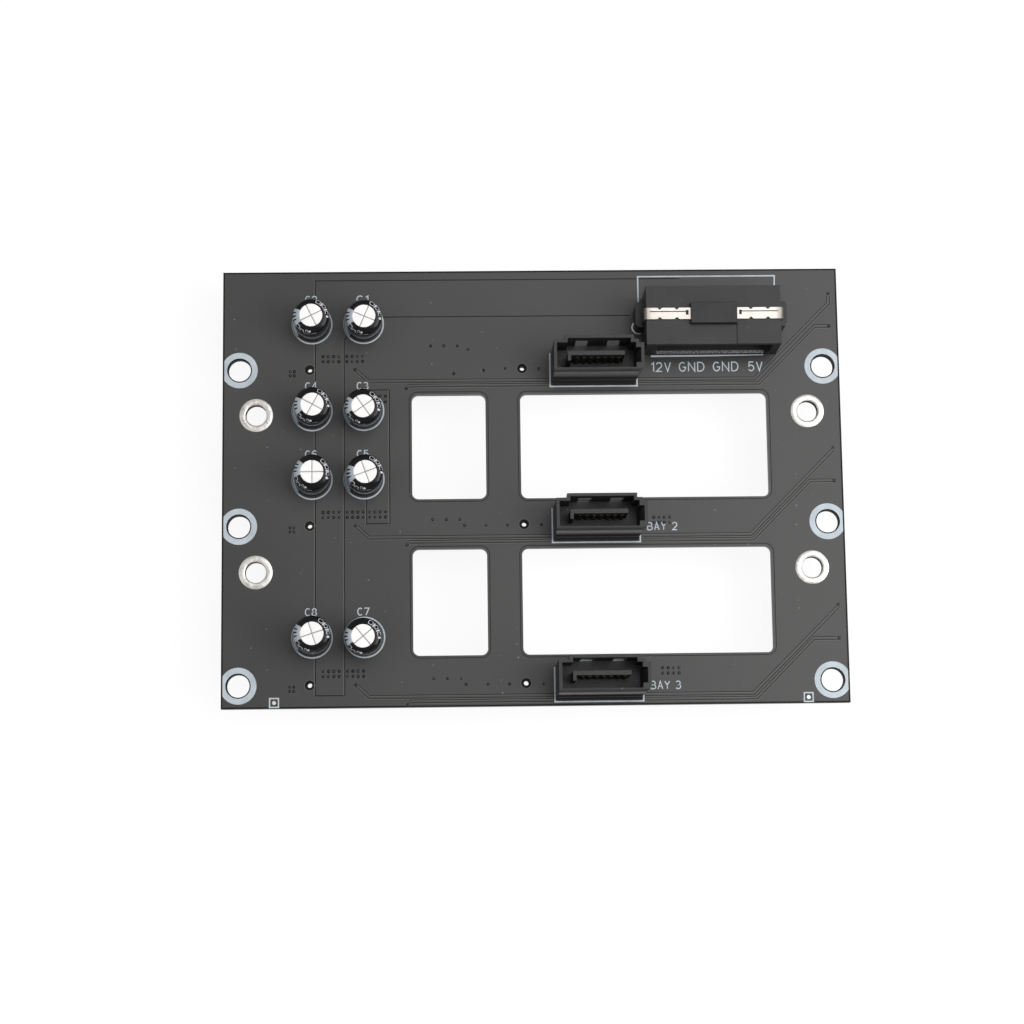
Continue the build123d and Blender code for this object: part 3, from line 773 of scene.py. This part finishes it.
lipPoint = sleeveProfile.index((2.18, 7.5))
lengths = lengthsFromLip(sleeveProfile, lipPoint)
for number, (centre, lean) in enumerate(zip(canPlaces, cans["leans"]), 1):
    bm = bmesh.new()
    wrapLayer = bm.loops.layers.uv.new("wrap")
    spin = math.radians(cans["bandTurns"][number - 1])
    turned(bm, centre, sleeveProfile, cans["steps"], spin, wrapLayer, lengths)
    leanOver(bm, lean)
    sleeve = finishPiece(f"capacitor_{number}_sleeve", bm, sleeveMaterial, smooth=True)
    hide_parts(f"capacitor_{number}_body")
    bm = bmesh.new()
    canTop(bm, centre, math.radians(cans["turns"][number - 1]), cans["disc"])
    leanOver(bm, lean)
    finishPiece(f"capacitor_{number}_top", bm, canMaterial, smooth=True)
print("stage: capacitors ready")

# printing on the cable side
ink = dict(
    line=0.26, thick=0.02, canRing=3.77, bandStart=135, bandEnd=225, bandSteps=30, labelRise=5.45,
    labelTall=1.5, labelWide=2.35, labelShift=-0.15)
# outlines of the connectors; those of the data headers are measured from their row
outlines = dict(
    header=(((3.34, 2.87), (3.34, -3.46), (19.42, -3.46), (19.42, 0.6)), ((4.8, 3.9), (17.6, 3.9))),
    power=((19.94, 38.6), (19.94, 46.36), (45.46, 46.36), (45.25, 40.5)), mouth=((22.1, 31.02),
    (32.8, 31.08), (43.0, 31.26), (43.0, 31.38), (22.1, 31.38)))
labels = dict(
    power=(("12V", 22.04, 25.93), ("GND", 27.21, 32.14), ("GND", 33.52, 38.45), ("5V", 40.06, 42.91)),
    powerLow=28.22, powerHigh=30.08, bayLeft=20.7, bayRight=26.4, bayLow=-1.4, bayHigh=0.15, bayStroke=0.18)
line, thick = ink["line"], ink["thick"]
bm = bmesh.new()
for number, (x, y) in enumerate(canPlaces, 1):
    flatHoop(bm, (x, y), ink["canRing"] - line, ink["canRing"], 0.0, thick)
    reach = ink["canRing"] - line / 2
    slab(bm, arc(x, y, reach, reach, ink["bandStart"], ink["bandEnd"], ink["bandSteps"]), 0.0, thick)
    middle, top, half = x + ink["labelShift"], y + ink["labelRise"], ink["labelWide"] / 2
    legend(bm, f"C{number}", middle - half, middle + half, top - ink["labelTall"], top, thick)
for row in rowHeights:
    for outline in outlines["header"]:
        ribbon(bm, [(x, row + y) for x, y in outline], line, 0.0, thick)
ribbon(bm, outlines["power"], line, 0.0, thick)
# the line before the power header's mouth narrows from left to right, painted shade where the housing shades
# its right part
slab(bm, outlines["mouth"], 0.0, thick)
for words, left, right in labels["power"]:
    legend(bm, words, left, right, labels["powerLow"], labels["powerHigh"], thick)
for number in (2, 3):
    row = rowHeights[number - 1]
    legend(bm, f"BAY {number}", labels["bayLeft"], labels["bayRight"], row + labels["bayLow"],
           row + labels["bayHigh"], thick, labels["bayStroke"])
half = fiducials["half"]
for x, y in fiducials["places"]:
    ribbon(bm, [(x - half, y - half), (x + half, y - half), (x + half, y + half), (x - half, y + half)],
           fiducials["line"], 0.0, thick, closed=True)
finishPiece("cable_side_printing", bm, inkMaterial)
print("stage: printing ready")

# tracks and copper gaps under the mask; an upper and a lower track belong to each row
tracks = dict(
    gap=0.13, high=0.012, paleShare=0.7, width=0.56, lowerShare=0.9, startX=-32.6, viaX=-23.2, rightX=55.4,
    upperTurn=2.4, upperDrop=2.25, lowerTurn=0.6, lowerDrop=3.1, lowerRise=7.59,
    turnsX=(41.2, 39.75, 39.45), bendsX=(52.7, 50.9, 50.7), rises=(11.95, 13.4, 13.4))
trackHigh = tracks["high"]
startX, viaX, rightX = tracks["startX"], tracks["viaX"], tracks["rightX"]
dark, light = bmesh.new(), bmesh.new()


# a track seen by the gap line on each side of it, a dark line that is partly painted shade along the copper's
# edge, with a paler strip inside it
def outlined(points, width):
    for side in (1, -1):
        ribbon(dark, besideLine(points, side * width / 2), tracks["gap"], 0.0, trackHigh)
        ribbon(light, besideLine(points, side * width / 2 - tracks["gap"]), tracks["gap"], 0.0,
               trackHigh * tracks["paleShare"])


for row, turnX, bendX, rise in zip(rowHeights, tracks["turnsX"], tracks["bendsX"], tracks["rises"]):
    low = row - tracks["upperDrop"]
    upper = [(startX + 0.1, row - 0.1), (startX + tracks["upperTurn"], low), (turnX, low),
             (rightX, row + rise)]
    if rise < tracks["rises"][-1]:
        upper.append((rightX, row + tracks["rises"][-1]))
    outlined(upper, tracks["width"])
    low, high = row - tracks["lowerDrop"], row + tracks["lowerRise"]
    outlined([(viaX + 0.3, row - 3.3), (viaX + tracks["lowerTurn"], low), (bendX - (high - low), low),
              (bendX, high), (rightX - 0.2, high)], tracks["width"] * tracks["lowerShare"])

# gap between two pours: a dark line, partly painted shade, with a pale painted highlight on the left of what
# runs along Y
pours = dict(
    line=0.17, paleLine=0.18, paleShift=0.19, paleShare=1.5, steep=2, channels=(((27.6, 46.3),
    (27.6, 45.96), (-39.95, 45.96), (-39.95, -31.0), (-34.65, -31.0), (-34.65, 34.7), (-31.0, 39.0),
    (18.4, 39.0)), ((-30.6, 21.0), (-30.6, 25.24), (-26.35, 25.24), (-26.35, 0.35), (-30.6, 0.35),
    (-30.6, 12.0))))
for points in pours["channels"]:
    ribbon(dark, points, pours["line"], 0.0, trackHigh)
    for (x0, y0), (x1, y1) in zip(points, points[1:]):
        if abs(y1 - y0) > abs(x1 - x0) * pours["steep"]:
            ribbon(light, [(x0 - pours["paleShift"], y0), (x1 - pours["paleShift"], y1)], pours["paleLine"],
                   0.0, trackHigh * pours["paleShare"])

cutouts = dict(
    middles=(14.55, -14.18), half=9.775, columns=((-22.25, -8.65), (-2.25, 43.35)), grow=0.45, corner=1.6,
    line=0.12)
for y in cutouts["middles"]:
    for x0, x1 in cutouts["columns"]:
        inward = cutouts["grow"] - cutouts["corner"]
        reachX, reachY = (x1 - x0) / 2 + inward, cutouts["half"] + inward
        outline = []
        for start, signX, signY in ((0, 1, 1), (90, -1, 1), (180, -1, -1), (270, 1, -1)):
            outline += arc((x0 + x1) / 2 + signX * reachX, y + signY * reachY, cutouts["corner"],
                           cutouts["corner"], start, start + 90, 6)
        ribbon(dark, outline, cutouts["line"], 0.0, trackHigh, closed=True)

border = dict(inset=0.16, line=0.3)
left, right = board["left"] + border["inset"], board["right"] - border["inset"]
bottom, back = board["bottom"] + border["inset"], board["back"] - border["inset"]
ribbon(dark, [(left, bottom), (right, bottom), (right, back), (left, back)], border["line"], 0.0,
       trackHigh, closed=True)
finishPiece("copper_gaps", dark, gapMaterial)
finishPiece("copper_rims_and_highlights", light, rimAndHighlightMaterial)
print("stage: tracks ready")

# vias: a low rim, a dark ring sunk in it as painted shade, and a paler spot where the mask dips as a painted
# highlight
vias = dict(
    pitch=0.97, columns=4, blockRows=(2.48, 1.53), outerBlocks=(-38.5, -34.1),
    middleBlocks=(-38.5, -34.1, -30.0), squareX=(-44.55, -43.8), squareY=(-0.3, -1.05), lowDrop=3.65,
    highRise=13.77, quadX=(-28.06, -27.02), quadY=(24.05, 22.98), firstRow=[(-18.64, 33.46),
    (-16.16, 33.44), (-13.68, 33.44), (-11.69, 32.76), (-14.39, 28.19), (-8.88, 28.79), (-4.9, 29.1),
    (1.33, 29.0)], otherRows=((-18.5, 1.0), (-16.0, 0.95), (-13.5, 0.95), (-12.65, -0.13), (-8.7, -0.15),
    (-4.8, -0.15), (1.4, -0.15)), rightBlocks=((22.0, 0.97, (1.05, 0.07)), (23.0, 1.0, (-26.6, -27.58))))


def viaBlock(blockX, pitch, heights):
    return [(blockX + pitch * i, y) for i in range(vias["columns"]) for y in heights]


viaPlaces = []
for row in rowHeights:
    for blockX in vias["middleBlocks"] if row == 0 else vias["outerBlocks"]:
        viaPlaces += viaBlock(blockX, vias["pitch"], [row + y for y in vias["blockRows"]])
    viaPlaces += [(x, row + y) for x in vias["squareX"] for y in vias["squareY"]]
    viaPlaces += [(startX, row), (viaX, row - vias["lowDrop"]),
                  (rightX, row + vias["highRise"]), (rightX, row + tracks["lowerRise"])]
viaPlaces += [(x, y) for x in vias["quadX"] for y in vias["quadY"]]
viaPlaces += vias["firstRow"]
for row in rowHeights[1:]:
    viaPlaces += [(x, row + y) for x, y in vias["otherRows"]]
for blockX, pitch, heights in vias["rightBlocks"]:
    viaPlaces += viaBlock(blockX, pitch, heights)

# layers of a via on the cable side, from the board up
viaLayers = dict(
    via_rims=((0.05, -0.03), dict(foot=0.35, head=0.33, height=0.02, low=0.0, material=viaRimMaterial,
                                  change=0.06)),
    via_wells=((0.0, 0.0), dict(foot=0.31, head=0.29, height=0.008, low=0.02, material=wellShadeMaterial,
                                change=0.1)),
    via_dip_highlights=((0.05, 0.03), dict(foot=0.15, head=0.12, height=0.006, low=0.028, material=dipHighlightMaterial,
                                 change=0.3, seed=8)),
)
for name, ((shiftX, shiftY), look) in viaLayers.items():
    scatterStuds(name, [(x + shiftX, y + shiftY) for x, y in viaPlaces], slot="board", **look)
print("stage:", len(viaPlaces), "vias ready")

# solder eyelets of the power header's strap legs on the cable side, and the lug at the left one
eyelets = dict(
    left=(19.89, 36.66), right=(45.5, 36.6), inner=0.98, outer=1.32, high=0.22, edge=0.04, shoulder=0.6)
lug = dict(
    low=0.02, high=0.3, outlines=(((-0.72, -0.5), (-0.45, -0.62), (0.18, -0.02), (0.1, 0.3)), ((0.1, -0.6),
    (0.32, -0.55), (0.3, -0.05), (0.12, -0.05))))
inner, outer, high = eyelets["inner"], eyelets["outer"], eyelets["high"]
shoulder = high * eyelets["shoulder"]
bm = bmesh.new()
for centre in (eyelets["left"], eyelets["right"]):
    hoop(bm, centre, [(inner, 0.0), (outer, 0.0), (outer - eyelets["edge"], shoulder),
                      ((inner + outer) / 2, high), (inner + eyelets["edge"], shoulder)], steps=48)
finishPiece("strap_leg_eyelets", bm, eyeletLitTinMaterial, smooth=True)
# painted shade: dark discs in the eyelets' holes
scatterStuds(
    "strap_leg_wells", [eyelets["left"], eyelets["right"]], inner, inner, height=0.012, low=0.0,
    material=wellShadeMaterial, slot="board", sides=24)
x, y = eyelets["left"]
bm = bmesh.new()
for outline in lug["outlines"]:
    slab(bm, [(x + offX, y + offY) for offX, offY in outline], lug["low"], lug["high"])
finishPiece("strap_leg_lug", bm, eyeletLitTinMaterial)
print("stage: eyelets ready")

# drive side: solder joints, socket pads, printing and tracks
joints = dict(
    leadPitch=2.5, tailPitch=1.27, pinPitch=5.08, headerX=11.95, tailDown=0.555, powerX=32.93, pinY=40.6,
    legX=12.5, legY=36.6)
jointPlaces = dict(
    lead=[(x + side * joints["leadPitch"] / 2, y) for x, y in canPlaces for side in (-1, 1)],
    tail=[(joints["headerX"] + (i - 3) * joints["tailPitch"], row + joints["tailDown"]) for row in rowHeights
          for i in range(7)],
    pin=[(joints["powerX"] + (i - 1.5) * joints["pinPitch"], joints["pinY"]) for i in range(4)],
    leg=[(joints["powerX"] + side * joints["legX"], joints["legY"]) for side in (-1, 1)],
)
# radius at the tip, radius at the board and height of each kind of joint
jointSizes = dict(lead=(0.36, 0.95, 0.75), tail=(0.3, 0.58, 0.6), pin=(0.85, 1.55, 0.9), leg=(0.8, 1.4, 0.7))
for name, (foot, head, high) in jointSizes.items():
    scatterStuds(f"{name}_joints", jointPlaces[name], foot, head, high, under - high, solderMaterial,
                 "tinned", sides=24, change=0.06, seed=5, smooth=True)

# a drive socket's contacts are counted from the middle of its power part and of its signal part
sockets = dict(
    x=-21.4, end=-16.8, powerX=10.4, signalX=23.0 + 5.3, padNear=3.2, padFar=4.4, padHalf=0.45,
    padThick=0.03)
contactOffsets = [sockets["end"] + sockets["powerX"] + (i - 7) * joints["tailPitch"] for i in range(15)]
contactOffsets += [sockets["end"] + sockets["signalX"] + (i - 3) * joints["tailPitch"] for i in range(7)]
padPlaces = [(sockets["x"] + x, row) for row in rowHeights for x in contactOffsets]
half = sockets["padHalf"]
bm = bmesh.new()
for x, row in padPlaces:
    near, far = row + sockets["padNear"], row + sockets["padFar"]
    slab(bm, [(x - half, near), (x + half, near), (x + half, far), (x - half, far)],
         under - sockets["padThick"], under)
finishPiece("socket_pads", bm, tinMaterial)
driveInk = dict(half=18.6, up=2.9, down=3.5, wordsLeft=0.4, wordsRight=6.2, wordsHalf=0.8)
bm = bmesh.new()
for number, row in enumerate(rowHeights, 1):
    x0, x1 = sockets["x"] - driveInk["half"], sockets["x"] + driveInk["half"]
    low, high = row - driveInk["down"], row + driveInk["up"]
    ribbon(bm, [(x0, high), (x0, low), (x1, low), (x1, high)], line, under - thick, under)
    legend(bm, f"BAY {number}", driveInk["wordsLeft"], driveInk["wordsRight"], row - driveInk["wordsHalf"],
           row + driveInk["wordsHalf"], thick, below=True)
finishPiece("drive_side_printing", bm, inkMaterial)
dark = bmesh.new()
fan = dict(start=4.6, bend=5.6, end=7.4, drift=0.12, shifts=(-0.2, 0.2), line=0.1)
for x, row in padPlaces:
    if row == rowHeights[0]:
        drift = (x - sockets["x"]) * fan["drift"]
        for shift in fan["shifts"]:
            ribbon(dark, [(x + shift, row + fan["start"]), (x + shift, row + fan["bend"]),
                          (x + shift + drift, row + fan["end"])], fan["line"], under - trackHigh, under)
driveGaps = dict(heights=(46.0, -31.9), half=55.2)
for y in driveGaps["heights"]:
    ribbon(dark, [(-driveGaps["half"], y), (driveGaps["half"], y)], pours["line"], under - trackHigh, under)
finishPiece("drive_side_gaps", dark, gapMaterial)
scatterStuds(
    "drive_side_vias", viaPlaces, foot=0.33, head=0.36, height=0.02, low=under - 0.02,
    material=viaRimMaterial, slot="board", change=0.06)
# painted shade: dark wells in the vias on the drive side
scatterStuds(
    "drive_side_wells", viaPlaces, foot=0.2, head=0.22, height=0.008, low=under - 0.028,
    material=wellShadeMaterial, slot="board", change=0.1)
print("stage: drive side ready")

# camera, lights and floor
camera = bpy.data.objects.new("camera", bpy.data.cameras.new("camera"))
bpy.context.scene.collection.objects.link(camera)
bpy.context.scene.camera = camera
camera.data.lens = 82.04
camera.data.sensor_width = 36.0
camera.data.clip_start, camera.data.clip_end = 0.01, 20.0
camera.location = (-0.01409, -0.06245, 0.42223)
camera.rotation_euler = [math.radians(a) for a in (8.7269, -1.2553, -0.7304)]

lamps = dict(
    overhead=dict(place=(0.24, 0.15, 0.70), size=0.5, power=1.9),
    left=dict(place=(-0.7, -0.1, 0.5), size=0.6, power=0.9),
    right=dict(place=(0.34, -0.06, 0.29), size=0.3, power=1.3),
)
for name, lamp in lamps.items():
    source = bpy.data.lights.new(name, "AREA")
    source.energy = lamp["power"]
    source.size = lamp["size"]
    holder = bpy.data.objects.new(name, source)
    holder.location = lamp["place"]
    holder.rotation_euler = (-Vector(lamp["place"])).to_track_quat("-Z", "Y").to_euler()
    bpy.context.scene.collection.objects.link(holder)

world = bpy.data.worlds.new("studio")
bpy.context.scene.world = world
world.use_nodes = True
tree = world.node_tree
tree.nodes.clear()
ray = addNode(tree, "ShaderNodeLightPath")
room = addNode(tree, "ShaderNodeBackground", Color=rgb((0.99, 0.99, 1.0)), Strength=0.4)
white = addNode(tree, "ShaderNodeBackground", Color=rgb((1, 1, 1)), Strength=1.0)
mixed = addNode(
    tree, "ShaderNodeMixShader", n0=ray.outputs["Is Camera Ray"], n1=room.outputs[0], n2=white.outputs[0])
addNode(tree, "ShaderNodeOutputWorld", Surface=mixed.outputs[0])

floorMesh = bpy.data.meshes.new("floor")
reach, level = 3.0, cadBox[0].z
corners = [(-reach, -reach, level), (reach, -reach, level), (reach, reach, level), (-reach, reach, level)]
floorMesh.from_pydata(corners, [], [(0, 1, 2, 3)])
floor = bpy.data.objects.new("floor", floorMesh)
bpy.context.scene.collection.objects.link(floor)
floorMaterial = bpy.data.materials.new("paleFloor")
floorMaterial.use_nodes = True
tree = floorMaterial.node_tree
shader = tree.nodes["Principled BSDF"]
shader.inputs["Base Color"].default_value = rgb((0.85, 0.85, 0.85))
shader.inputs["Roughness"].default_value = 0.8
ray = addNode(tree, "ShaderNodeLightPath")
seen = calc(tree, "MAXIMUM", ray.outputs["Is Camera Ray"], ray.outputs["Is Glossy Ray"])
seen = calc(tree, "MAXIMUM", seen, ray.outputs["Is Transmission Ray"])
glow = addNode(tree, "ShaderNodeEmission", Color=rgb((1, 1, 1)), Strength=1.06)
glowing = calc(tree, "MULTIPLY", seen, 0.85)
paved = addNode(tree, "ShaderNodeMixShader", n0=glowing, n1=shader.outputs[0], n2=glow.outputs[0])
fromBelow = addNode(tree, "ShaderNodeNewGeometry").outputs["Backfacing"]
clear = addNode(tree, "ShaderNodeBsdfTransparent")
mixed = addNode(tree, "ShaderNodeMixShader", n0=fromBelow, n1=paved.outputs[0], n2=clear.outputs[0])
tree.links.new(mixed.outputs[0], tree.nodes["Material Output"].inputs["Surface"])
floorMesh.materials.append(floorMaterial)
bpy.context.scene.view_settings.view_transform = "Standard"
print("stage: camera, lights and floor ready")
